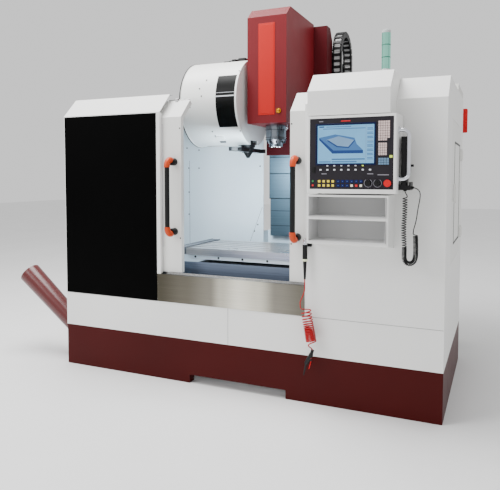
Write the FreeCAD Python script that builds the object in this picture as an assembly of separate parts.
import FreeCAD, Part
import math
import os
from FreeCAD import Vector

# A vertical machining centre, in millimetres.
# Everything is laid out from the housing's front left corner: X runs right, Y runs back, Z runs up
# from the floor. On export it is shifted so that the origin is the middle of the floor area.

# ---- driving dimensions ----
WIDTH = 2490.0              # sheet metal housing, left to right
DEPTH = 1200.0              # sheet metal housing, front to back
PLINTH_TOP = 275.0
KICK_TOP = 501.0
FRONT_TOP = 1705.0          # where the upright front bends into the chamfer
CHAMFER = 125.0
SHEET = 4.0
SEAM_LEFT = 300.0           # panel seam of the splash wall
GAP = 0.3                   # between faces that slide past each other
FIT = 0.05                  # radial clearance of a shaft in its hole

PANEL_RIGHT = 742.0         # right edge of the dark front panel
PANEL_TOP = 1700.0
LEFT_EDGE = 768.0           # the door opening runs from here
RIGHT_EDGE = 1730.0         # to here
SHIFT_X = 986.0             # the origin, measured from the front left corner
SHIFT_Y = 814.0

DOOR_FRONT = 30.0
DOOR_THICK = 32.0
DOOR_LEFT = 290.0
DOOR_RIGHT = 906.0
DOOR_BOTTOM = 690.0
DOOR_MIDDLE = 1268.0        # where the two closed doors meet
STILE = 141.0

SPINDLE_X = 1245.0
SPINDLE_Y = 800.0
NOSE_BOTTOM = 1512.0

TABLE_LEFT = 645.0
TABLE_RIGHT = 1845.0
TABLE_FRONT = 420.0
TABLE_BACK = 950.0
TABLE_TOP = 795.0
SLOT_COUNT = 5
SLOT_PITCH = 92.0
SLOT_WIDTH = 18.0

BED_LEFT = 700.0
BED_RIGHT = 1790.0
BED_FRONT = 300.0
BED_BACK = 1850.0
BED_TOP = 500.0
WAY_TOP = 569.0             # top of the bed's ways, which the saddle runs on
SADDLE_TOP = 699.0          # top of the saddle's ways, which the table runs on
SCREW_R = 20.0
Y_SCREW_Z = 530.0
Z_SCREW_Y = 1444.0

COLUMN_LEFT = 1000.0
COLUMN_RIGHT = 1490.0
COLUMN_FRONT = 1420.0
COLUMN_TOP = 2250.0
SLIDE_FRONT = 1230.0        # head slide, from here
SLIDE_BACK = 1384.0         # to the column's ways
SLIDE_BOTTOM = 1467.0
SLIDE_TOP = 2455.0

DRUM_X0 = 630.0
DRUM_X1 = 1070.0
DRUM_Z = 1832.0
DRUM_R = 310.0
POT_COUNT = 20
POT_PITCH_R = 235.0
POT_R = 30.0
POT_PIVOT_X = 800.0
ARM_X = (SPINDLE_X + POT_PIVOT_X) / 2.0
ARM_REACH = (SPINDLE_X - POT_PIVOT_X) / 2.0
ARM_Z0 = 1478.0
ARM_Z1 = 1506.0

PEND_X0 = 1807.0
PEND_X1 = 2270.0
PEND_FRONT = -200.0
PEND_BACK = -20.0
PEND_Z0 = 1212.0
PEND_Z1 = 1612.0
PEND_PIVOT_X = 1830.0
PEND_PIVOT_Y = -45.0
HOOD_X0 = 1803.0
HOOD_X1 = 2233.0
HOOD_FRONT = -185.0
SHELF_X1 = 2230.0
SHELF_TOP = 1204.0

TUBE_Y = 160.0              # chip discharge tube's axis lies in this plane
TUBE_TIP_X = -495.0
TUBE_TIP_Z = 572.0
TUBE_FOOT_X = 60.0
TUBE_SLOPE = math.radians(38.3)
TUBE_TIP_R = 78.0
TUBE_FOOT_R = 62.0
TUBE_WALL = 4.0

CAB_X0 = 1810.0
CAB_X1 = 2455.0
CAB_Y0 = 1215.0
CAB_Y1 = 1750.0
CAB_Z0 = 300.0
CAB_Z1 = 1950.0
ENTRY_R = 20.0              # hole for the power cable's gland

SIDE_DOOR_Y0 = 302.0
SIDE_DOOR_Y1 = 998.0
SIDE_DOOR_Z0 = 800.0
SIDE_DOOR_Z1 = 1620.0
SIDE_HINGE_X = 2500.0
SIDE_HINGE_Y = 1006.0

HOSE_R = 3.2
HOSE_TOP = (1746.0, -40.0, 722.0)
HOSE_TURN_TOP = (1747.0, -50.0, 600.0)
HOSE_TURN_END = (1800.0, -58.0, 330.0)
HOSE_COIL_R = 31.0

CURL_R = 13.5
CABLE_R = 2.5


# ---- helpers ----
def box(x0, x1, y0, y1, z0, z1):
    return Part.makeBox(x1 - x0, y1 - y0, z1 - z0, Vector(x0, y0, z0))


def rod(start, end, radius, end_radius=None):
    a = Vector(*start)
    along = Vector(*end) - a
    if end_radius is None or end_radius == radius:
        return Part.makeCylinder(radius, along.Length, a, along)
    return Part.makeCone(radius, end_radius, along.Length, a, along)


def upright(x, y, z0, z1, radius, top_radius=None):
    return rod((x, y, z0), (x, y, z1), radius, top_radius)


def side_profile(points, x0, x1):
    """Extrude an outline of (y, z) points from x0 to x1."""
    corners = [Vector(x0, y, z) for y, z in points]
    face = Part.Face(Part.makePolygon(corners + corners[:1]))
    return face.extrude(Vector(x1 - x0, 0, 0))


def join(shapes):
    shapes = list(shapes)
    return shapes[0].multiFuse(shapes[1:]).removeSplitter()


def group(shapes):
    return Part.Compound(list(shapes))


def round_edges(shape, radius, chosen):
    edges = [e for e in shape.Edges if chosen(e)]
    return shape.makeFillet(radius, edges)


def is_vertical(edge):
    if len(edge.Vertexes) != 2:
        return False
    a, b = (v.Point for v in edge.Vertexes)
    return abs(a.x - b.x) < 1e-6 and abs(a.y - b.y) < 1e-6


def bent_path(points, radii=None, factor=0.45):
    """A wire of straight runs joined by tangent arcs, and the arcs' radii."""
    points = [Vector(*p) for p in points]
    edges = []
    found = []
    start = points[0]
    for i in range(1, len(points) - 1):
        before, corner, after = points[i - 1], points[i], points[i + 1]
        way_in = (corner - before).normalize()
        way_out = (after - corner).normalize()
        turn = way_in.getAngle(way_out)
        shorter = min((corner - before).Length, (after - corner).Length)
        reach = factor * shorter
        radius = reach / math.tan(turn / 2.0)
        if radii:
            radius = radii[i - 1]
            reach = radius * math.tan(turn / 2.0)
        found.append(round(radius, 1))
        arc_start = corner - way_in * reach
        arc_end = corner + way_out * reach
        middle = (way_out - way_in).normalize()
        arc_mid = corner + middle * (radius / math.cos(turn / 2.0) - radius)
        if (arc_start - start).Length > 1e-4:
            edges.append(Part.LineSegment(start, arc_start).toShape())
        edges.append(Part.Arc(arc_start, arc_mid, arc_end).toShape())
        start = arc_end
    edges.append(Part.LineSegment(start, points[-1]).toShape())
    return Part.Wire(edges), found


def pipe(points, radius, radii=None):
    path, found = bent_path(points, radii)
    a = Vector(*points[0])
    first = Vector(*points[1]) - a
    circle = Part.Wire(Part.makeCircle(radius, a, first))
    return path.makePipeShell([circle], True, False), found, path.Length


# ---- castings ----
def make_base_plinth():
    """Red base: the coolant tank's skirt, with a fork tunnel through its middle."""
    wall = 20.0
    tunnel = box(975, 1618, -10, DEPTH + 10, -10, 52)
    bed_space = box(BED_LEFT - 12, BED_RIGHT + 12, 60, DEPTH + 10, -10, PLINTH_TOP + 10)
    left_tank = box(wall, BED_LEFT - 32, wall, DEPTH - wall, -10, PLINTH_TOP - wall)
    right_tank = box(BED_RIGHT + 32, WIDTH - wall, wall, DEPTH - wall, -10, PLINTH_TOP - wall)
    body = box(0, WIDTH, 0, DEPTH, 0, PLINTH_TOP)
    body = round_edges(body, 6, is_vertical)
    hole = tube_solid(TUBE_TIP_R + 3, TUBE_FOOT_R + 3)
    return body.cut(group([tunnel, bed_space, left_tank, right_tank, hole]))


def make_bed_casting():
    """Cast bed on two feet, with box ways for the saddle and a seat for the column."""
    foot = 56.0
    body = box(BED_LEFT, BED_RIGHT, BED_FRONT, BED_BACK, 0, BED_TOP)
    tunnel = box(960, 1640, 0, BED_BACK + 10, -10, foot)
    ways = [box(x, x + 80, BED_FRONT + 40, 1190, BED_TOP, WAY_TOP) for x in (950, 1460)]
    bearings = [box(1195, 1295, y, y + 40, BED_TOP, Y_SCREW_Z + 34) for y in (320, 1150)]
    pockets = []
    for x in (745, 990, 1300, 1545):
        for y in (350, 590, 830, 1070, 1330, 1570):
            pockets.append(box(x, x + 200, y, y + 200, foot + 50, BED_TOP - 50))
    openings = [box(x0 + 120, x1 - 120, y - 70, y + 70, -20, foot + 60)
                for x0, x1 in ((700, 1060), (1450, 1790)) for y in (580, 1080, 1610)]
    body = join([body] + ways + bearings).cut(group([tunnel] + pockets + openings))
    return body.cut(rod((SPINDLE_X, 300, Y_SCREW_Z), (SPINDLE_X, 1195, Y_SCREW_Z), 15 + FIT))


def make_column_casting():
    """Hollow cast column with two upright ways, a screw channel and lifting holes on top."""
    wall = 40.0
    body = box(COLUMN_LEFT, COLUMN_RIGHT, COLUMN_FRONT, BED_BACK, BED_TOP, COLUMN_TOP)
    ways = [box(x, x + 70, SLIDE_BACK + GAP, COLUMN_FRONT, 560, COLUMN_TOP) for x in (1010, 1410)]
    hollow = box(COLUMN_LEFT + wall, COLUMN_RIGHT - wall, COLUMN_FRONT + 110, BED_BACK - wall,
                 BED_TOP + wall, COLUMN_TOP - wall)
    channel = box(1165, 1325, COLUMN_FRONT - 1, COLUMN_FRONT + 70, 620, COLUMN_TOP - wall)
    window = box(1120, 1370, BED_BACK - wall - 1, BED_BACK + 1, 900, 1500)
    body = join([body] + ways).cut(group([hollow, channel, window]))
    for z in (619, COLUMN_TOP - wall - 1):
        body = body.cut(upright(SPINDLE_X, Z_SCREW_Y, z - 45, z + 60, 15 + FIT))
    holes = [upright(x, y, COLUMN_TOP - 41, COLUMN_TOP + 1, 10)
             for x in (1065, 1425) for y in (1600, 1790)]
    return body.cut(group(holes))


def make_saddle():
    """Saddle between the bed's ways and the table, with the Y nut below and ways on top."""
    y0, y1 = 500.0, 900.0
    plate = box(905, 1585, y0, y1, WAY_TOP + GAP, 665)
    ways = [box(865, 1625, y, y + 70, 640, SADDLE_TOP) for y in (545, 785)]
    lip = box(800, 1690, 335, 546, 690, 696)
    nut = box(1195, 1295, 640, 740, Y_SCREW_Z - 24, WAY_TOP + 20)
    body = join([plate, lip, nut] + ways)
    screw_hole = rod((SPINDLE_X, 600, Y_SCREW_Z), (SPINDLE_X, 760, Y_SCREW_Z), SCREW_R + FIT)
    pockets = [box(x, x + 240, 625, 775, WAY_TOP - 1, 650) for x in (930, 1320)]
    return body.cut(group([screw_hole] + pockets))


def make_table():
    """Work table with T-slots along X; it rests on the saddle's ways."""
    plate = box(TABLE_LEFT, TABLE_RIGHT, TABLE_FRONT, TABLE_BACK, TABLE_TOP - 50, TABLE_TOP)
    rib = box(TABLE_LEFT + 40, TABLE_RIGHT - 40, TABLE_FRONT + 110, TABLE_BACK - 80,
              SADDLE_TOP + GAP, TABLE_TOP - 49)
    core = box(TABLE_LEFT + 70, TABLE_RIGHT - 70, 630, 770, SADDLE_TOP - 1, TABLE_TOP - 55)
    body = join([plate, rib]).cut(core)
    middle = (TABLE_FRONT + TABLE_BACK) / 2.0
    for i in range(SLOT_COUNT):
        y = middle + (i - (SLOT_COUNT - 1) / 2.0) * SLOT_PITCH
        neck = box(TABLE_LEFT - 1, TABLE_RIGHT + 1, y - SLOT_WIDTH / 2, y + SLOT_WIDTH / 2,
                   TABLE_TOP - 20, TABLE_TOP + 1)
        foot = box(TABLE_LEFT - 1, TABLE_RIGHT + 1, y - 15, y + 15, TABLE_TOP - 32, TABLE_TOP - 18)
        body = body.cut(join([neck, foot]))
    return body


def make_head_slide():
    """Cast head: a wide slide on the column's ways with a nose block that holds the spindle."""
    outline = [(SLIDE_FRONT, SLIDE_BOTTOM), (SLIDE_BACK, SLIDE_BOTTOM), (SLIDE_BACK, SLIDE_TOP - 90),
               (SLIDE_BACK - 60, SLIDE_TOP), (SLIDE_FRONT, SLIDE_TOP)]
    slide = side_profile(outline, 995, 1495)
    pockets = [box(x, x + 130, SLIDE_FRONT + 40, SLIDE_BACK + 1, z, z + 260)
               for x in (1090, 1270) for z in (1500, 1790, 2080)]
    nose = box(1125, 1365, 690, SLIDE_FRONT + 1, 1690, 1950)
    hollow = box(1155, 1335, 930, SLIDE_FRONT - 30, 1689, 1925)
    nut = box(1200, 1290, SLIDE_BACK - 20, 1480, 1960, 2060)
    body = join([slide.cut(group(pockets)), nose.cut(hollow), nut])
    bore = upright(SPINDLE_X, SPINDLE_Y, 1680, 1960, 85)
    screw_hole = upright(SPINDLE_X, Z_SCREW_Y, 1950, 2070, SCREW_R + FIT)
    return body.cut(group([bore, screw_hole]))


# ---- drives ----
def motor(x, y, z, direction, length, half):
    """Servo motor: square flange, body, end cap and connector, along an axis from its mounting face."""
    along = {"Y": Vector(0, 1, 0), "-Y": Vector(0, -1, 0), "Z": Vector(0, 0, 1)}[direction]
    body = box(-half, half, -half, half, 0, 20)
    barrel = box(-half + 6, half - 6, -half + 6, half - 6, 19, length * 0.72)
    barrel = round_edges(barrel, 12, is_vertical)
    cap = upright(0, 0, length * 0.71, length, half - 12)
    plug = upright(half - 22, 0, length * 0.70, length * 0.70 + 40, 14)
    shape = join([body, barrel, cap, plug])
    turn = FreeCAD.Rotation(Vector(0, 0, 1), along)
    shape.Placement = FreeCAD.Placement(Vector(x, y, z), turn)
    return shape


def make_axis_motors():
    y_motor = motor(SPINDLE_X, BED_FRONT, Y_SCREW_Z, "-Y", 140, 58)
    z_motor = motor(SPINDLE_X, Z_SCREW_Y, COLUMN_TOP, "Z", 190, 56)
    return group([y_motor, z_motor])


def make_y_screw():
    body = rod((SPINDLE_X, 362, Y_SCREW_Z), (SPINDLE_X, 1148, Y_SCREW_Z), SCREW_R)
    ends = [rod((SPINDLE_X, a, Y_SCREW_Z), (SPINDLE_X, b, Y_SCREW_Z), 15)
            for a, b in ((301, 363), (1147, 1188))]
    return join([body] + ends)


def make_z_screw():
    top = COLUMN_TOP - 42
    body = upright(SPINDLE_X, Z_SCREW_Y, 622, top, SCREW_R)
    ends = [upright(SPINDLE_X, Z_SCREW_Y, 580, 623, 15), upright(SPINDLE_X, Z_SCREW_Y, top - 1, top + 40, 15)]
    return join([body] + ends)


# ---- spindle ----
def make_spindle_housing():
    """Flanged cartridge with a tapered nose."""
    profile = [(84.9, 1692), (84.9, 1950), (98, 1950), (98, 1975), (40, 1975), (40, 1540), (38 + FIT, 1540),
               (38 + FIT, NOSE_BOTTOM), (50, NOSE_BOTTOM), (50, 1532), (75, 1562), (75, 1692)]
    return turned(profile, SPINDLE_X, SPINDLE_Y)


def turned(profile, x, y):
    """Turn an outline of (radius, height) points about an upright axis."""
    corners = [Vector(x + r, y, z) for r, z in profile]
    face = Part.Face(Part.makePolygon(corners + corners[:1]))
    return face.revolve(Vector(x, y, 0), Vector(0, 0, 1), 360)


def make_spindle_shaft():
    """Rotating spindle with its tool taper and two drive keys."""
    taper_mouth = 22.2
    taper_depth = 68.0
    small_end = taper_mouth - taper_depth * 7.0 / 48.0
    face = NOSE_BOTTOM - 1
    profile = [(small_end, face + taper_depth), (taper_mouth, face), (38, face), (38, 1541), (36, 1541),
               (36, 2000), (30, 2000), (30, 2030), (0, 2030), (0, face + taper_depth)]
    shaft = turned(profile, SPINDLE_X, SPINDLE_Y)
    keys = [box(SPINDLE_X + x - 5, SPINDLE_X + x + 5, SPINDLE_Y - 8, SPINDLE_Y + 8, face - 3, face + 2)
            for x in (-30, 30)]
    return join([shaft] + keys)


def make_spindle_motor():
    body = box(1160, 1330, 715, 885, 2060, 2350)
    body = round_edges(body, 20, is_vertical)
    spacer = upright(SPINDLE_X, SPINDLE_Y, 1975, 2061, 92)
    room = upright(SPINDLE_X, SPINDLE_Y, 1970, 2040, 60)
    return join([body, spacer]).cut(room)


def make_head_cover():
    """Folded sheet cover over the spindle motor, open below and behind."""
    x0, x1, y0, z0 = 1100.0, 1390.0, 615.0, 1668.0
    outline = [(y0, z0), (SLIDE_FRONT - GAP, z0), (SLIDE_FRONT - GAP, 2470), (y0 + 80, 2470), (y0, 2400)]
    inner = [(y0 + 4, z0 + 4), (SLIDE_FRONT + 5, z0 + 4), (SLIDE_FRONT + 5, 2466),
             (y0 + 82, 2466), (y0 + 4, 2398)]
    shell = side_profile(outline, x0, x1).cut(side_profile(inner, x0 + 4, x1 - 4))
    nose_hole = upright(SPINDLE_X, SPINDLE_Y, z0 - 1, z0 + 5, 80)
    return shell.cut(nose_hole)


def cover_plate(half, y, z0, z1):
    """Upright channel of the column's telescopic cover."""
    outer = box(SPINDLE_X - half, SPINDLE_X + half, y, y + 60, z0, z1)
    inner = box(SPINDLE_X - half + 3, SPINDLE_X + half - 3, y + 3, y + 61, z0 - 1, z1 + 1)
    return outer.cut(inner)


def make_z_cover_upper():
    return cover_plate(225, 1231, 1120, SLIDE_BOTTOM - GAP).fuse(
        box(1100, 1390, SLIDE_FRONT + 2, SLIDE_FRONT + 40, SLIDE_BOTTOM - 5, SLIDE_BOTTOM)).removeSplitter()


def make_z_cover_middle():
    return cover_plate(218, 1238, 815, 1160)


def make_y_cover():
    """Sliding plate in front of the saddle."""
    return side_profile([(240, 667), (445, 667), (445, 670), (243, 670), (243, 675), (240, 675)], 815, 1675)


# ---- housing ----
def chamfered_front(x0, x1, z0):
    """Front sheet that bends back at the top and ends in a short roof flange."""
    c = SHEET * math.tan(math.radians(22.5))
    outline = [(0, z0), (0, FRONT_TOP), (CHAMFER, FRONT_TOP + CHAMFER), (CHAMFER + 40, FRONT_TOP + CHAMFER),
               (CHAMFER + 40, FRONT_TOP + CHAMFER - SHEET), (CHAMFER + c, FRONT_TOP + CHAMFER - SHEET),
               (SHEET, FRONT_TOP - c), (SHEET, z0)]
    return side_profile(outline, x0, x1)


def side_sheet(x0):
    outline = [(0, PLINTH_TOP), (DEPTH, PLINTH_TOP), (DEPTH, FRONT_TOP + CHAMFER),
               (CHAMFER, FRONT_TOP + CHAMFER), (0, FRONT_TOP)]
    return side_profile(outline, x0, x0 + SHEET)


def make_left_enclosure():
    """White left housing: kick panel, front behind the dark panel, chamfer, side and roof."""
    top = FRONT_TOP + CHAMFER
    front = chamfered_front(0, LEFT_EDGE, KICK_TOP)
    recess = box(-1, PANEL_RIGHT, -1, SHEET, KICK_TOP - 1, PANEL_TOP)
    backing = box(0, LEFT_EDGE, SHEET, 2 * SHEET, KICK_TOP - 4, PANEL_TOP + 3)
    kick = box(0, SPINDLE_X - 0.5, 0, SHEET, PLINTH_TOP, KICK_TOP - 1)
    link = box(0, PANEL_RIGHT, 1, 2 * SHEET, KICK_TOP - 8, KICK_TOP - 1)
    roof = box(0, 540, CHAMFER, DEPTH, top - SHEET, top)
    flange = box(0, 44, DEPTH - SHEET, DEPTH, PLINTH_TOP, top)
    edge = box(LEFT_EDGE - SHEET, LEFT_EDGE, 0, 24, KICK_TOP + 180, PANEL_TOP)
    return join([front.cut(recess), backing, kick, link, side_sheet(0), roof, flange, edge])


def make_black_panel():
    return box(SHEET + GAP, PANEL_RIGHT - GAP, 0, SHEET - GAP, KICK_TOP + GAP, PANEL_TOP - GAP)


def make_right_enclosure():
    """White right housing with the hood over the operator panel and the side door's opening."""
    top = FRONT_TOP + CHAMFER
    front = chamfered_front(RIGHT_EDGE, WIDTH, KICK_TOP - 1)
    kick = box(SPINDLE_X + 0.5, WIDTH, 0, SHEET, PLINTH_TOP, KICK_TOP - 1)
    roof = box(RIGHT_EDGE, WIDTH, CHAMFER, DEPTH, top - SHEET, top)
    flange = box(WIDTH - 44, WIDTH, DEPTH - SHEET, DEPTH, PLINTH_TOP, top)
    edge = box(RIGHT_EDGE, RIGHT_EDGE + SHEET, 0, 24, KICK_TOP + 180, FRONT_TOP)
    side = side_sheet(WIDTH - SHEET)
    doorway = box(WIDTH - 10, WIDTH + 10, SIDE_DOOR_Y0 - 2, SIDE_DOOR_Y1 + 2,
                  SIDE_DOOR_Z0 - 2, SIDE_DOOR_Z1 + 2)
    shape = join([front, kick, roof, flange, edge, side.cut(doorway), make_hood()] + hinge_posts())
    pin_hole = upright(PEND_PIVOT_X, PEND_PIVOT_Y, 1610, 1640, 12 + FIT)
    return shape.cut(pin_hole)


def make_hood():
    outline = [(SHEET, 1617), (HOOD_FRONT, 1617), (HOOD_FRONT, 1745), (HOOD_FRONT + 100, 1845),
               (CHAMFER + 6, 1845), (CHAMFER + 6, 1829), (CHAMFER - 4, 1829), (SHEET, 1709)]
    inner = [(SHEET + 1, 1629), (HOOD_FRONT + 4, 1629), (HOOD_FRONT + 4, 1743.3),
             (HOOD_FRONT + 101.7, 1841), (CHAMFER - 2, 1841), (CHAMFER - 6, 1831), (SHEET + 1, 1715)]
    return side_profile(outline, HOOD_X0, HOOD_X1).cut(side_profile(inner, HOOD_X0 + 4, HOOD_X1 - 4))


def hinge_posts():
    """Pins and tabs of the side door's two hinges."""
    posts = []
    for z in (930, 1440):
        pin = upright(SIDE_HINGE_X, SIDE_HINGE_Y, z - 40, z + 40, 4)
        for level in (z - 40, z + 30):
            tab = box(WIDTH - SHEET, SIDE_HINGE_X, SIDE_HINGE_Y - 4, SIDE_HINGE_Y + 12, level, level + 10)
            posts.append(tab)
        posts.append(pin)
    return posts


def make_side_door():
    """Right side door with a recess for its pane, a bar handle and two hinge barrels."""
    body = box(WIDTH - 18, WIDTH, SIDE_DOOR_Y0, SIDE_DOOR_Y1, SIDE_DOOR_Z0, SIDE_DOOR_Z1)
    pan = box(WIDTH - 19, WIDTH - 3, SIDE_DOOR_Y0 + 3, SIDE_DOOR_Y1 - 3, SIDE_DOOR_Z0 + 3, SIDE_DOOR_Z1 - 3)
    pane = box(WIDTH - 8, WIDTH - 2.9, 495, 925, 895, 1505)
    handle = [box(WIDTH - 3, WIDTH + 5, 425, 445, z, z + 12) for z in (1152, 1238)]
    grip = box(WIDTH + 4.5, WIDTH + 16, 423, 447, 1145, 1257)
    parts = [body.cut(pan), pane, grip] + handle
    bores = []
    for z in (930, 1440):
        barrel = upright(SIDE_HINGE_X, SIDE_HINGE_Y, z - 29.5, z + 29.5, 8)
        seat = box(WIDTH, SIDE_HINGE_X, SIDE_DOOR_Y1 - 30, SIDE_DOOR_Y1, z - 29.5, z + 29.5)
        leaf = box(WIDTH + 1, SIDE_HINGE_X, SIDE_DOOR_Y1 - 1, SIDE_HINGE_Y, z - 29.5, z + 29.5)
        parts += [barrel, seat, leaf]
        bores.append(upright(SIDE_HINGE_X, SIDE_HINGE_Y, z - 41, z + 41, 4 + FIT))
    return join(parts).cut(group(bores))


def make_apron():
    """Stainless front apron laid over the housing's edges, with a fold over the door sill."""
    front = box(PANEL_RIGHT + 2, RIGHT_EDGE + 2, -3, -GAP, KICK_TOP, 677)
    fold = box(LEFT_EDGE + 1, RIGHT_EDGE - 1, -1, 24, 674, 677)
    hem = box(LEFT_EDGE + 1, RIGHT_EDGE - 1, 21, 24, 655, 677)
    return join([front, fold, hem])


def make_back_wall():
    """White splash wall behind the work zone, folded back below the head to close the column's foot."""
    y0, y1 = DEPTH - 2 * SHEET - GAP, DEPTH - SHEET - GAP
    x0, x1 = 985.0, 1505.0
    fold_top = 855.0
    fold_back = 1303.0
    sheet = box(SHEET + 1, WIDTH - SHEET - 1, y0, y1, 520, FRONT_TOP + CHAMFER - SHEET - 4)
    notch = box(x0, x1, y0 - 1, y1 + 1, 519, FRONT_TOP + CHAMFER)
    returns = [box(x, x + SHEET, y0, fold_back, BED_TOP + 1, fold_top) for x in (x0 - SHEET, x1)]
    shield = box(x0 - SHEET, x1 + SHEET, fold_back - SHEET, fold_back, BED_TOP + 1, fold_top)
    seam = box(SEAM_LEFT, x0 - 1, y0 - 6, y0 + 1, 1432, 1436)
    return join([sheet.cut(notch), shield, seam] + returns)


def make_chip_pan():
    """Floor of the work zone around the bed, with an upright plate and deck in front of the saddle."""
    level = 440.0
    floor = box(SHEET + 1, WIDTH - SHEET - 1, SHEET + 1, DEPTH - SHEET - 4, level, level + 3)
    bed = box(BED_LEFT - 2, BED_RIGHT + 2, BED_FRONT - 2, DEPTH, level - 1, level + 4)
    motor_room = box(1170, 1320, 100, BED_FRONT, level - 1, level + 4)
    plate = box(755, 1735, 140, 144, level, 745)
    deck = box(755, 1735, 140, 285, 650, 653)
    slope = side_profile([(143, 742), (143, 745), (205, 704), (205, 701)], 755, 1735)
    trough = box(60, WIDTH - 60, 60, 120, level - 1, level + 4)
    return join([floor.cut(group([bed, motor_room, trough])), plate, deck, slope])


def make_door_rails():
    """Sill rail under both doors and a guide rod above each side section."""
    sill = box(275, 2265, 24, 66, 652, 677)
    track = box(275, 2265, 42, 50, 676, 686)
    rods = [rod((x0, 186, 1752), (x1, 186, 1752), 8) for x0, x1 in ((SHEET, 740), (1760, WIDTH - SHEET))]
    return group([join([sill, track])] + rods)


def door_outline(inset):
    """Door section in (y, z): upright, then bent back along the housing's chamfer."""
    front = DOOR_FRONT + inset
    bend = 1672.0
    rise = 118.0
    run = bend - inset * (math.sqrt(2) - 1)
    back = DOOR_FRONT + DOOR_THICK + (1 if inset else 0)
    thick = back - front
    back_bend = run - thick * (math.sqrt(2) - 1)
    end_y = DOOR_FRONT + rise - (3 if inset else 0)
    end_z = run + (end_y - front)
    diagonal = thick / math.sqrt(2)
    bottom = DOOR_BOTTOM + inset
    return [(front, bottom), (front, run), (end_y, end_z), (end_y + diagonal, end_z - diagonal),
            (back, back_bend), (back, bottom)]


def make_door(mirrored):
    """Sliding door: a folded pan, open behind, with a window beside its leading stile."""
    body = side_profile(door_outline(0), DOOR_LEFT, DOOR_RIGHT)
    pan = side_profile(door_outline(3), DOOR_LEFT + 3, DOOR_RIGHT - 3)
    window_right = DOOR_RIGHT - STILE
    window = box(DOOR_LEFT + 65, window_right, DOOR_FRONT - 1, DOOR_FRONT + 5, 860, 1620)
    stiffener = box(window_right + 20, window_right + 30, DOOR_FRONT + 2, DOOR_FRONT + DOOR_THICK, 700, 1640)
    shape = join([body.cut(pan).cut(window), stiffener])
    return mirror_door(shape) if mirrored else shape


def mirror_door(shape):
    return shape.mirror(Vector(DOOR_MIDDLE, 0, 0), Vector(1, 0, 0))


def make_door_window(mirrored):
    pane = box(DOOR_LEFT + 55, DOOR_RIGHT - STILE + 10, DOOR_FRONT + 3.05, DOOR_FRONT + 9, 850, 1630)
    return mirror_door(pane) if mirrored else pane


def make_door_handle(mirrored):
    """Tubular pull with its two ends bent back to the door."""
    x = DOOR_RIGHT - 48
    reach = -60.0
    points = [(x, DOOR_FRONT, 948), (x, reach, 930), (x, reach, 1410), (x, DOOR_FRONT, 1392)]
    tube = pipe(points, 15, [38, 38])[0]
    feet = [rod((x, DOOR_FRONT, z), (x, DOOR_FRONT - 12, z), 21) for z in (948, 1392)]
    shape = join([tube] + feet)
    shape = shape.cut(box(x - 40, x + 40, DOOR_FRONT - 0.001, DOOR_FRONT + 40, 900, 1450))
    return mirror_door(shape) if mirrored else shape


def make_signal_tower():
    x, y, r = 2110.0, 350.0, 25.0
    base = FRONT_TOP + CHAMFER
    profile = [(0, base), (34, base), (34, base + 8), (11, base + 14), (11, base + 60), (r + 1, base + 66),
               (r + 1, base + 96), (r, base + 98), (r, base + 308), (r + 1, base + 310),
               (r + 1, base + 322), (12, base + 328), (0, base + 328)]
    return turned(profile, x, y)


# ---- tool changer ----
def make_magazine_cover():
    """Round drum over the tool magazine with openings for the pot, the arm and the bracket."""
    wall = 3.0
    drum = rod((DRUM_X0, SPINDLE_Y, DRUM_Z), (DRUM_X1, SPINDLE_Y, DRUM_Z), DRUM_R)
    inside = rod((DRUM_X0 + wall, SPINDLE_Y, DRUM_Z), (DRUM_X1 - wall, SPINDLE_Y, DRUM_Z), DRUM_R - wall)
    rim = rod((DRUM_X0 - 6, SPINDLE_Y, DRUM_Z), (DRUM_X0 + 1, SPINDLE_Y, DRUM_Z), DRUM_R + 3)
    rim_hole = rod((DRUM_X0 - 7, SPINDLE_Y, DRUM_Z), (DRUM_X0 + 0.5, SPINDLE_Y, DRUM_Z), DRUM_R - 12)
    shape = join([drum.cut(inside), rim.cut(rim_hole)])
    pot_slot = box(POT_PIVOT_X - 105, POT_PIVOT_X + 55, SPINDLE_Y - 50, SPINDLE_Y + 50, 1500, 1560)
    arm_hole = box(ARM_X - 62, DRUM_X1 + 5, SPINDLE_Y - 62, SPINDLE_Y + 62, 1500, 1560)
    beam_hole = box(870, 990, SPINDLE_Y + 200, SPINDLE_Y + 330, 1850, 1990)
    return shape.cut(group([pot_slot, arm_hole, beam_hole]))


def make_changer_bracket():
    """Cast bracket from the column that carries the magazine's axle and the arm's gearbox."""
    gearbox = box(955, 1062, SPINDLE_Y - 75, SPINDLE_Y + 75, 1625, 1760)
    hub = rod((860, SPINDLE_Y, DRUM_Z), (1062, SPINDLE_Y, DRUM_Z), 60)
    web = box(955, 1062, SPINDLE_Y - 50, SPINDLE_Y + 50, 1759, DRUM_Z)
    arm = box(880, 980, SPINDLE_Y, COLUMN_FRONT + 30, 1862, 1978)
    lift = box(880, 980, SPINDLE_Y - 40, SPINDLE_Y + 40, DRUM_Z, 1900)
    foot = box(960, COLUMN_LEFT, COLUMN_FRONT + 10, COLUMN_FRONT + 270, 1760, 2080)
    tie = box(880, COLUMN_LEFT - 1, COLUMN_FRONT + 20, COLUMN_FRONT + 100, 1862, 1978)
    drive = rod((1000, SPINDLE_Y, 1990), (1000, SPINDLE_Y + 120, 1990), 48)
    perch = box(960, 1040, SPINDLE_Y, SPINDLE_Y + 100, DRUM_Z + 20, 1990)
    body = join([gearbox, hub, web, arm, lift, foot, tie, drive, perch])
    axle_hole = rod((859, SPINDLE_Y, DRUM_Z), (945, SPINDLE_Y, DRUM_Z), 25 + FIT)
    sleeve_hole = upright(ARM_X, SPINDLE_Y, 1620, 1752, 36 + FIT)
    return body.cut(group([axle_hole, sleeve_hole]))


def pot_place(index):
    angle = math.radians(-90 + index * 360.0 / POT_COUNT)
    return SPINDLE_Y + POT_PITCH_R * math.cos(angle), DRUM_Z + POT_PITCH_R * math.sin(angle)


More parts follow.
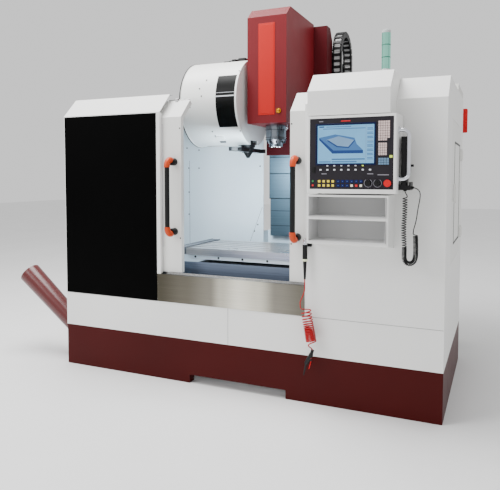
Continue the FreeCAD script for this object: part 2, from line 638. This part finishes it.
def pot(x1, y, z):
    """Tool pot: a cup whose mouth faces left."""
    cup = rod((x1 - 85, y, z), (x1, y, z), POT_R)
    mouth = rod((x1 - 86, y, z), (x1 - 20, y, z), 22.5, 13)
    return cup.cut(mouth)


def make_magazine_disc():
    """Index disc with its axle and every pot but the one at the change place."""
    disc = rod((815, SPINDLE_Y, DRUM_Z), (835, SPINDLE_Y, DRUM_Z), POT_PITCH_R - 15)
    axle = rod((834, SPINDLE_Y, DRUM_Z), (940, SPINDLE_Y, DRUM_Z), 25)
    parts = [disc, axle]
    for i in range(1, POT_COUNT):
        y, z = pot_place(i)
        parts.append(pot(POT_PIVOT_X, y, z))
        parts.append(rod((POT_PIVOT_X - 1, y, z), (835, y, z), 18))
    y, z = pot_place(0)
    holes = []
    for side in (-1, 1):
        centre = SPINDLE_Y + side * 35.0
        parts.append(box(788, 835, centre - 3, centre + 3, z - 9, z + 32))
    hole = rod((POT_PIVOT_X, SPINDLE_Y - 50, z), (POT_PIVOT_X, SPINDLE_Y + 50, z), 4 + FIT)
    lighten = [rod((814, SPINDLE_Y + 120 * math.cos(a), DRUM_Z + 120 * math.sin(a)),
                   (836, SPINDLE_Y + 120 * math.cos(a), DRUM_Z + 120 * math.sin(a)), 38)
               for a in [k * math.pi / 3 + math.pi / 6 for k in range(6)]]
    return join(parts).cut(group([hole] + lighten))


def make_change_pot():
    """The pot that tips down, with its pivot pin."""
    y, z = pot_place(0)
    pin = rod((POT_PIVOT_X, y - 38, z), (POT_PIVOT_X, y + 38, z), 4)
    lug = rod((POT_PIVOT_X, y - 31, z), (POT_PIVOT_X, y + 31, z), 10)
    return join([pot(POT_PIVOT_X - 2, y, z), pin, lug])


def make_arm_sleeve():
    """Sleeve that plunges out of the gearbox and carries the arm."""
    body = upright(ARM_X, SPINDLE_Y, ARM_Z1 + 6, 1745, 36)
    collar = upright(ARM_X, SPINDLE_Y, ARM_Z1 + 6, ARM_Z1 + 40, 52)
    bore = upright(ARM_X, SPINDLE_Y, 1500, 1640, 18 + FIT)
    return join([body, collar]).cut(bore)


def make_change_arm():
    """Double gripper arm, parked front to back, with its shaft and end cone."""
    half = ARM_REACH
    bar = box(ARM_X - 26, ARM_X + 26, SPINDLE_Y - half, SPINDLE_Y + half, ARM_Z0, ARM_Z1)
    hub = upright(ARM_X, SPINDLE_Y, ARM_Z0 - 4, ARM_Z1 + 4, 45)
    cone = upright(ARM_X, SPINDLE_Y, ARM_Z0 - 44, ARM_Z0 - 3, 10, 34)
    shaft = upright(ARM_X, SPINDLE_Y, ARM_Z1, 1635, 18)
    ends = [upright(ARM_X, SPINDLE_Y + s * half, ARM_Z0, ARM_Z1, 46) for s in (-1, 1)]
    grips = [upright(ARM_X, SPINDLE_Y + s * half, ARM_Z0 - 1, ARM_Z1 + 1, 32) for s in (-1, 1)]
    mouths = [box(ARM_X - 50 if s > 0 else ARM_X, ARM_X if s > 0 else ARM_X + 50,
                  SPINDLE_Y + s * half - 30, SPINDLE_Y + s * half + 30, ARM_Z0 - 1, ARM_Z1 + 1)
              for s in (-1, 1)]
    return join([bar, hub, cone, shaft] + ends).cut(group(grips + mouths))


def make_cable_chain():
    """Energy chain: an upside-down U beside the head, from the head slide to the column."""
    x0, x1 = 1500.0, 1570.0
    thick = 52.0
    near, far, top = 1390.0, 1720.0, 2280.0
    centre = (near + far) / 2.0
    radius = (far - near) / 2.0
    ring = rod((x0, centre, top), (x1, centre, top), radius + thick / 2)
    hole = rod((x0 - 1, centre, top), (x1 + 1, centre, top), radius - thick / 2)
    arch = ring.cut(hole).cut(box(x0 - 1, x1 + 1, near - 100, far + 100, top - 400, top))
    legs = [box(x0, x1, near - thick / 2, near + thick / 2, 1900, top),
            box(x0, x1, far - thick / 2, far + thick / 2, 1650, top)]
    return join([arch] + legs)


# ---- chip discharge ----
def tube_frame():
    """Foot and tip of the discharge tube's axis, and the way up it."""
    tip = Vector(TUBE_TIP_X, TUBE_Y, TUBE_TIP_Z)
    up = Vector(-math.cos(TUBE_SLOPE), 0, math.sin(TUBE_SLOPE))
    length = (TUBE_FOOT_X - TUBE_TIP_X) / math.cos(TUBE_SLOPE)
    return tip - up * length, tip, up, length


def tube_solid(tip_r, foot_r, extra=0.0):
    foot, tip, up, length = tube_frame()
    return Part.makeCone(foot_r, tip_r, length + 2 * extra, foot - up * extra, up)


def make_auger_tube():
    """Flared chip tube that climbs out of the plinth's left end."""
    foot, tip, up, length = tube_frame()
    outer = tube_solid(TUBE_TIP_R, TUBE_FOOT_R)
    inner = tube_solid(TUBE_TIP_R - TUBE_WALL, TUBE_FOOT_R - TUBE_WALL, 0.01)
    crossing = foot + up * (TUBE_FOOT_X / math.cos(TUBE_SLOPE) + 36)
    collar = Part.makeCylinder(TUBE_FOOT_R + 22, 8, crossing, up).cut(box(-GAP, 300, 0, 400, 0, 400))
    back = Part.makeCylinder(TUBE_FOOT_R - 3, 20, foot, up)
    shape = join([outer, collar]).cut(inner)
    plate = back.common(tube_solid(TUBE_TIP_R - 2, TUBE_FOOT_R - 2))
    bearing_hole = Part.makeCylinder(12 + FIT, 60, foot - up * 10, up)
    shape = join([shape, plate.cut(bearing_hole)])
    return shape.cut(box(-2, 200, 0, 400, -100, 2))


def make_auger_screw():
    """Auger: a shaft with a helical flight that stops short of the tube's mouth."""
    foot, tip, up, length = tube_frame()
    start, reach, pitch, blade = 30.0, length - 130.0, 90.0, 47.0
    shaft = upright(0, 0, 2, start + reach, 12)
    helix = Part.makeHelix(pitch, reach - start, 28)
    strip = Part.makePolygon([Vector(10, 0, -3), Vector(blade, 0, -3), Vector(blade, 0, 3),
                              Vector(10, 0, 3), Vector(10, 0, -3)])
    flight = Part.Wire(helix.Edges).makePipeShell([strip], True, True)
    flight.translate(Vector(0, 0, start + 6))
    shape = shaft.fuse(flight).removeSplitter()
    shape.Placement = FreeCAD.Placement(foot, FreeCAD.Rotation(Vector(0, 0, 1), up))
    return shape


# ---- operator's station ----
def make_shelf_unit():
    """Two-bay shelf box under the operator panel."""
    outline = [(0, SHELF_TOP), (HOOD_FRONT, SHELF_TOP), (HOOD_FRONT, 945), (0, 918)]
    body = side_profile(outline, 1802, SHELF_X1)
    bays = [box(1812, SHELF_X1 - 10, HOOD_FRONT - 1, -12, z0, z1) for z0, z1 in ((1089, 1193), (959, 1074))]
    pin_hole = upright(PEND_PIVOT_X, PEND_PIVOT_Y, 1194, SHELF_TOP + 1, 12 + FIT)
    body = body.cut(group(bays + [pin_hole]))
    return body.cut(box(1700, 2300, -GAP, 10, 900, 1300))


def make_pendant_box():
    """Operator panel's housing with pivot pins above and below its left end."""
    body = box(PEND_X0, PEND_X1, PEND_FRONT, PEND_BACK, PEND_Z0, PEND_Z1)
    body = round_edges(body, 8, is_vertical)
    hollow = box(PEND_X0 + 3, PEND_X1 - 3, PEND_FRONT + 12, PEND_BACK - 3, PEND_Z0 + 3, PEND_Z1 - 3)
    front = box(1822, 2255, PEND_FRONT - 1, PEND_FRONT + 13, 1234, 1599)
    pins = [upright(PEND_PIVOT_X, PEND_PIVOT_Y, 1196, PEND_Z0 + 3, 12),
            upright(PEND_PIVOT_X, PEND_PIVOT_Y, PEND_Z1 - 3, 1628, 12)]
    return join([body.cut(group([hollow, front]))] + pins)


def make_control_face():
    """Dark panel plate with the screen's recess and holes for the stop button and knobs."""
    plate = box(1822.2, 2254.8, PEND_FRONT + 2, PEND_FRONT + 10, 1234.2, 1598.8)
    recess = box(1863, 2158, PEND_FRONT + 1, PEND_FRONT + 5, 1366, 1563)
    holes = [rod((x, PEND_FRONT - 5, 1266), (x, PEND_FRONT + 20, 1266), r + FIT)
             for x, r in ((2130, 5), (2177, 5), (2229, 11))]
    return plate.cut(group([recess] + holes))


def panel_turn(x, y0, y1, radius):
    return rod((x, PEND_FRONT + y0, 1266), (x, PEND_FRONT + y1, 1266), radius)


def make_stop_button():
    """Mushroom stop button with its stem; it presses in."""
    return join([panel_turn(2229, -22, -12, 18), panel_turn(2229, -13, 28, 11)])


def make_override_knob(x):
    pointer = box(x - 2, x + 2, PEND_FRONT - 20, PEND_FRONT - 2, 1266, 1266 + 15)
    return join([panel_turn(x, -18, 1.6, 14), panel_turn(x, 1, 24, 5), pointer])


def make_grab_handle():
    """Chrome grab rail on the operator panel's right end, with its two seats."""
    y = -150.0
    out = 2321.0
    points = [(PEND_X1, y, 1532), (out, y, 1532), (out, y, 1286), (PEND_X1, y, 1286)]
    tube = pipe(points, 9.5, [30, 30])[0]
    seats = [rod((PEND_X1, y, z), (PEND_X1 + 6, y, z), 18) for z in (1532, 1286)]
    return join([tube] + seats)


def make_handset_holder():
    """Black rest for the handset with the cable's outlet on its right end."""
    bar = box(PEND_X1, 2330, -140, -60, 1231, 1255)
    lip = box(2322, 2330, -140, -60, 1231, 1272)
    pass_hole = upright(2297, -100, 1220, 1270, 12)
    outlet = rod((2330, -100, 1243), (2340, -100, 1243), 7)
    return join([bar, lip, outlet]).cut(pass_hole)


def make_handset():
    """Hand pendant standing in its rest; its neck passes down through the rest."""
    body = box(2280, 2310, -138, -62, 1255.0, 1500)
    body = round_edges(body, 8, is_vertical)
    neck = upright(2297, -100, 1225, 1256, 9)
    wheel_hole = rod((2296, -100, 1345), (2320, -100, 1345), 5 + FIT)
    return join([body, neck]).cut(wheel_hole)


def make_handset_wheel():
    rim = rod((2310.5, -100, 1345), (2322, -100, 1345), 30)
    stem = rod((2298, -100, 1345), (2311, -100, 1345), 5)
    crank = rod((2321, -80, 1355), (2336, -80, 1355), 6)
    return join([rim, stem, crank])


def lead_points():
    """Route of the handset cable's plain stretch, from the rest's outlet to the curly stretch."""
    return [(2340.0, -100.0, 1243.0), (2362.0, -101.0, 1237.0), (2374.0, -103.0, 1215.0),
            (2371.0, -105.0, 1180.0), (2362.0, -107.0, 1130.0), (2356.0, -109.0, 1075.0),
            (2352.0, -110.0, 1030.0)]


def curl_points():
    """Centre line of the curly stretch: down, round a tight bend and up to the handset."""
    return [(2352.0, -110.0, 1030.0), (2357.0, -111.0, 950.0), (2354.0, -111.0, 858.0),
            (2298.0, -109.0, 856.0), (2300.0, -107.0, 940.0), (2293.0, -105.0, 1035.0),
            (2300.0, -102.0, 1130.0), (2297.0, -100.0, 1225.0)]


# ---- air gun ----
def make_air_coupling():
    """Wall block, elbow and grip of the air line's coupling, with its strain relief."""
    x, y = HOSE_TOP[0], HOSE_TOP[1]
    block = box(x - 14, x + 30, -20, 0, 905, 945)
    elbow = rod((x, y, 938), (x, -19, 938), 7)
    stem = upright(x, y, 905, 946, 8)
    grip = upright(x, y, 834, 917, 14)
    ring = upright(x, y, 826, 835, 15)
    relief = upright(x, y, HOSE_TOP[2], 827, 6, 11)
    return join([block, elbow, stem, grip, ring, relief])


def hose_points():
    x, y, z = HOSE_TOP
    return [(x, y, z), (x, y - 1, 690.0), (x + 1, y - 5, 650.0), HOSE_TURN_TOP]


def make_air_hose_coil():
    return rod(HOSE_TURN_TOP, HOSE_TURN_END, HOSE_COIL_R)


GUN_SHIFT = Vector(HOSE_TURN_END[0], HOSE_TURN_END[1], HOSE_TURN_END[2])


def make_air_gun():
    """Blow gun hanging from the hose: inlet, body, grip web and nozzle."""
    x, y, z = GUN_SHIFT
    inlet = rod((x, y, z), (x - 8, y, z - 26), 9)
    body = rod((x - 7, y, z - 24), (x - 38, y, z - 84), 12)
    nozzle = rod((x - 38, y, z - 84), (x - 52, y - 2, z - 150), 6, 3)
    ears = box(x - 26, x - 4, y - 7, y + 7, z - 62, z - 40)
    slot = box(x - 12.6, x, y - 3.2, y + 3.2, z - 64, z - 38)
    hole = rod((x - 8, y - 10, z - 48), (x - 8, y + 10, z - 48), 2 + FIT)
    return join([inlet, body, nozzle, ears]).cut(group([slot, hole]))


def make_gun_trigger():
    """Lever of the blow gun on its cross pin."""
    x, y, z = GUN_SHIFT
    pin = rod((x - 8, y - 8, z - 48), (x - 8, y + 8, z - 48), 2)
    boss = rod((x - 8, y - 3, z - 48), (x - 8, y + 3, z - 48), 4)
    blade = Part.makeBox(3, 6, 62, Vector(-1.5, -3, -64))
    blade.Placement = FreeCAD.Placement(Vector(x - 5, y, z - 48), FreeCAD.Rotation(Vector(0, 1, 0), 14))
    return join([pin, boss, blade])


# ---- electrical cabinet ----
def make_electrical_cabinet():
    """Cabinet behind the right side, on its stand, with the power cable's gland hole on top."""
    body = box(CAB_X0, CAB_X1, CAB_Y0, CAB_Y1 - 1, CAB_Z0, CAB_Z1)
    hollow = box(CAB_X0 + 3, CAB_X1 - 3, CAB_Y0 + 3, CAB_Y1 + 1, CAB_Z0 + 3, CAB_Z1 - 3)
    rim = box(CAB_X0 + 30, CAB_X1 - 30, CAB_Y1 - 10, CAB_Y1 + 1, CAB_Z0 + 30, CAB_Z1 - 30)
    lip = box(CAB_X0 + 1, CAB_X1 - 1, CAB_Y1 - 4, CAB_Y1 - 1, CAB_Z0 + 1, CAB_Z1 - 1).cut(rim)
    plate = box(CAB_X0 + 60, CAB_X1 - 60, CAB_Y0 + 2, CAB_Y0 + 6, CAB_Z0 + 80, CAB_Z1 - 80)
    legs = [box(x, x + 60, y, y + 60, 0, CAB_Z0 + 1) for x in (CAB_X0 + 20, CAB_X1 - 70)
            for y in (CAB_Y0 + 20, CAB_Y1 - 90)]
    shape = join([body.cut(hollow), lip, plate] + legs)
    entry = upright(CAB_X0 + 120, CAB_Y0 + 120, CAB_Z1 - 10, CAB_Z1 + 5, ENTRY_R)
    switch = rod((CAB_X1 - 10, 1300, 1690), (CAB_X1 + 10, 1300, 1690), 10 + FIT)
    pins = []
    for z in (600, 1650):
        pins.append(upright(CAB_X0 - 6, CAB_Y1 + 8, z - 40, z + 40, 4))
        for level in (z - 40, z + 30):
            pins.append(box(CAB_X0 - 10, CAB_X0 + 3, CAB_Y1 - 20, CAB_Y1 + 12, level, level + 10))
    return join([shape.cut(group([entry, switch]))] + pins)


def make_cabinet_door():
    """Rear cabinet door on two barrel hinges."""
    body = box(CAB_X0 + 6, CAB_X1 - 2, CAB_Y1, CAB_Y1 + 18, CAB_Z0 + 4, CAB_Z1 - 4)
    pan = box(CAB_X0 + 9, CAB_X1 - 5, CAB_Y1 - 1, CAB_Y1 + 15, CAB_Z0 + 7, CAB_Z1 - 7)
    barrels = []
    bores = []
    for z in (600, 1650):
        barrels.append(upright(CAB_X0 - 6, CAB_Y1 + 8, z - 29.5, z + 29.5, 8))
        barrels.append(box(CAB_X0 - 6, CAB_X0 + 8, CAB_Y1 + 12.5, CAB_Y1 + 16, z - 29.5, z + 29.5))
        bores.append(upright(CAB_X0 - 6, CAB_Y1 + 8, z - 41, z + 41, 4 + FIT))
    latch = box(CAB_X1 - 60, CAB_X1 - 36, CAB_Y1 + 17, CAB_Y1 + 34, 1050, 1170)
    return join([body.cut(pan), latch] + barrels).cut(group(bores))


def make_main_switch():
    """Main isolator's lever on the cabinet's right side."""
    shaft = rod((CAB_X1 - 20, 1300, 1690), (CAB_X1 + 12, 1300, 1690), 10)
    disc = rod((CAB_X1 + GAP, 1300, 1690), (CAB_X1 + 16, 1300, 1690), 38)
    lever = box(CAB_X1 + 15, CAB_X1 + 60, 1288, 1312, 1610, 1780)
    lever = round_edges(lever, 8, lambda e: not is_vertical(e) and abs(e.Length - 24) < 0.01)
    return join([shaft, disc, lever])


# ---- writing ----
def save(name, shape):
    solids = shape.Solids
    if not solids:
        raise RuntimeError(name + " has no solid")
    shape = solids[0] if len(solids) == 1 else group(solids)
    shape = shape.copy()
    shape.translate(Vector(-SHIFT_X, -SHIFT_Y, 0))
    if not shape.isValid():
        print("not valid:", name)
    shape.exportStep("parts/" + name + ".step")
    size = shape.BoundBox
    print(f"{name:22s} {len(solids):3d} solids {shape.Volume / 1e6:9.3f} dm3"
          f"  x {size.XMin:8.1f} {size.XMax:8.1f}  y {size.YMin:8.1f} {size.YMax:8.1f}"
          f"  z {size.ZMin:8.1f} {size.ZMax:8.1f}")
    return size


def main():
    os.makedirs("parts", exist_ok=True)
    lead, lead_radii, lead_length = pipe(lead_points(), CABLE_R)
    curl, curl_radii, curl_length = pipe(curl_points(), CURL_R)
    hose, hose_radii, hose_length = pipe(hose_points(), HOSE_R)
    parts = {
        "base_plinth": make_base_plinth(),
        "bed_casting": make_bed_casting(),
        "column_casting": make_column_casting(),
        "axis_motors": make_axis_motors(),
        "y_screw": make_y_screw(),
        "z_screw": make_z_screw(),
        "saddle": make_saddle(),
        "table": make_table(),
        "head_slide": make_head_slide(),
        "head_cover": make_head_cover(),
        "spindle_housing": make_spindle_housing(),
        "spindle_shaft": make_spindle_shaft(),
        "spindle_motor": make_spindle_motor(),
        "z_cover_upper": make_z_cover_upper(),
        "z_cover_middle": make_z_cover_middle(),
        "y_cover": make_y_cover(),
        "chip_pan": make_chip_pan(),
        "left_enclosure": make_left_enclosure(),
        "black_panel": make_black_panel(),
        "right_enclosure": make_right_enclosure(),
        "apron": make_apron(),
        "back_wall": make_back_wall(),
        "door_rails": make_door_rails(),
        "left_door": make_door(False),
        "right_door": make_door(True),
        "left_door_window": make_door_window(False),
        "right_door_window": make_door_window(True),
        "left_door_handle": make_door_handle(False),
        "right_door_handle": make_door_handle(True),
        "side_door": make_side_door(),
        "signal_tower": make_signal_tower(),
        "magazine_cover": make_magazine_cover(),
        "changer_bracket": make_changer_bracket(),
        "magazine_disc": make_magazine_disc(),
        "change_pot": make_change_pot(),
        "arm_sleeve": make_arm_sleeve(),
        "change_arm": make_change_arm(),
        "cable_chain": make_cable_chain(),
        "auger_tube": make_auger_tube(),
        "auger_screw": make_auger_screw(),
        "shelf_unit": make_shelf_unit(),
        "pendant_box": make_pendant_box(),
        "control_face": make_control_face(),
        "stop_button": make_stop_button(),
        "feed_knob": make_override_knob(2130),
        "rapid_knob": make_override_knob(2177),
        "grab_handle": make_grab_handle(),
        "handset_holder": make_handset_holder(),
        "handset": make_handset(),
        "handset_wheel": make_handset_wheel(),
        "handset_cable_lead": lead,
        "handset_cable_curl": curl,
        "air_coupling": make_air_coupling(),
        "air_hose_lead": hose,
        "air_hose_coil": make_air_hose_coil(),
        "air_gun": make_air_gun(),
        "gun_trigger": make_gun_trigger(),
        "electrical_cabinet": make_electrical_cabinet(),
        "cabinet_door": make_cabinet_door(),
        "main_switch": make_main_switch(),
    }
    boxes = [save(name, shape) for name, shape in parts.items()]
    print(len(parts), "parts")
    print("x", min(b.XMin for b in boxes), max(b.XMax for b in boxes))
    print("y", min(b.YMin for b in boxes), max(b.YMax for b in boxes))
    print("z", min(b.ZMin for b in boxes), max(b.ZMax for b in boxes))
    for name, radii, length, radius in (("handset_cable_lead", lead_radii, lead_length, CABLE_R),
                                        ("handset_cable_curl", curl_radii, curl_length, CURL_R),
                                        ("air_hose_lead", hose_radii, hose_length, HOSE_R)):
        print(name, "radii", radii, "length", round(length, 1),
              "section times length", round(math.pi * radius ** 2 * length, 1),
              "volume", round(parts[name].Volume, 1))


main()
